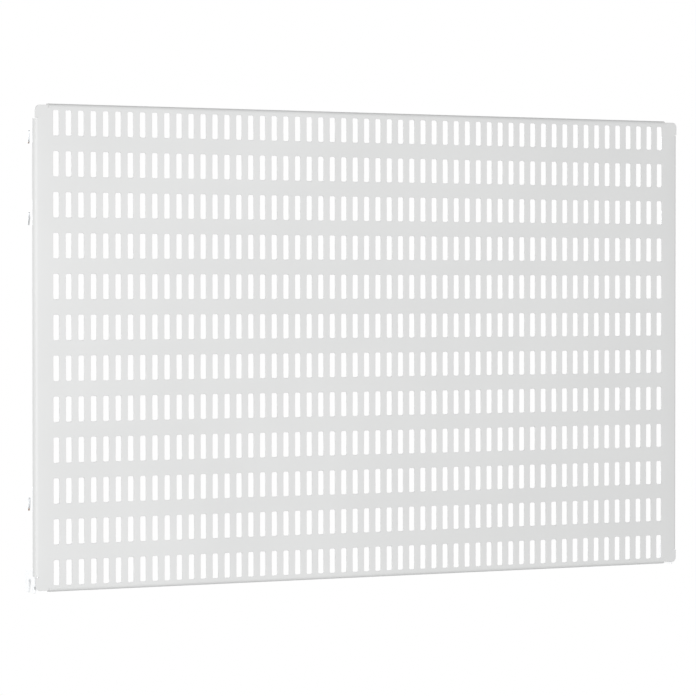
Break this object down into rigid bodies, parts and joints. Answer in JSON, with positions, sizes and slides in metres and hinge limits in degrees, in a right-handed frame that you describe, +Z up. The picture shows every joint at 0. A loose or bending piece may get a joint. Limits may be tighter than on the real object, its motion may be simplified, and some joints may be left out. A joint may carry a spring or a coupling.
{
  "type": "pegboard tool wall",
  "caption": "Folded white sheet-metal tool wall panel with a grid of upright slots, and paired hooks at both side edges that drop into slotted wall uprights.",
  "frame": {"origin": "middle of the plane where the hooks' legs bear on the front of the wall uprights", "axes": "+Z up, +Y into the wall, the slotted face looks along -Y, +X to the right seen from the front"},
  "size_m": [0.602, 0.023, 0.383],
  "materials": {
    "white_powder_coat": "white powder coat, low sheen, very fine orange-peel texture",
    "bright_zinc": "bright zinc plate, satin",
    "stud_copper_flash": "copper-flashed weld stud, satin",
    "nut_zinc": "zinc-plated nut, satin"
  },
  "bodies": {
    "root": {"face_rows_1_4": "white_powder_coat", "face_rows_5_8": "white_powder_coat", "face_rows_9_12": "white_powder_coat", "flange_top": "white_powder_coat", "flange_bottom": "white_powder_coat", "flange_left": "white_powder_coat", "flange_right": "white_powder_coat", "hook_bracket_top_left": "bright_zinc", "hook_bracket_bottom_left": "bright_zinc", "hook_bracket_top_right": "bright_zinc", "hook_bracket_bottom_right": "bright_zinc", "weld_stud_top_left_upper": "stud_copper_flash", "weld_stud_top_left_lower": "stud_copper_flash", "weld_stud_bottom_left_upper": "stud_copper_flash", "weld_stud_bottom_left_lower": "stud_copper_flash", "weld_stud_top_right_upper": "stud_copper_flash", "weld_stud_top_right_lower": "stud_copper_flash", "weld_stud_bottom_right_upper": "stud_copper_flash", "weld_stud_bottom_right_lower": "stud_copper_flash", "nut_top_left_upper": "nut_zinc", "nut_top_left_lower": "nut_zinc", "nut_bottom_left_upper": "nut_zinc", "nut_bottom_left_lower": "nut_zinc", "nut_top_right_upper": "nut_zinc", "nut_top_right_lower": "nut_zinc", "nut_bottom_right_upper": "nut_zinc", "nut_bottom_right_lower": "nut_zinc"}
  },
  "joints": []
}
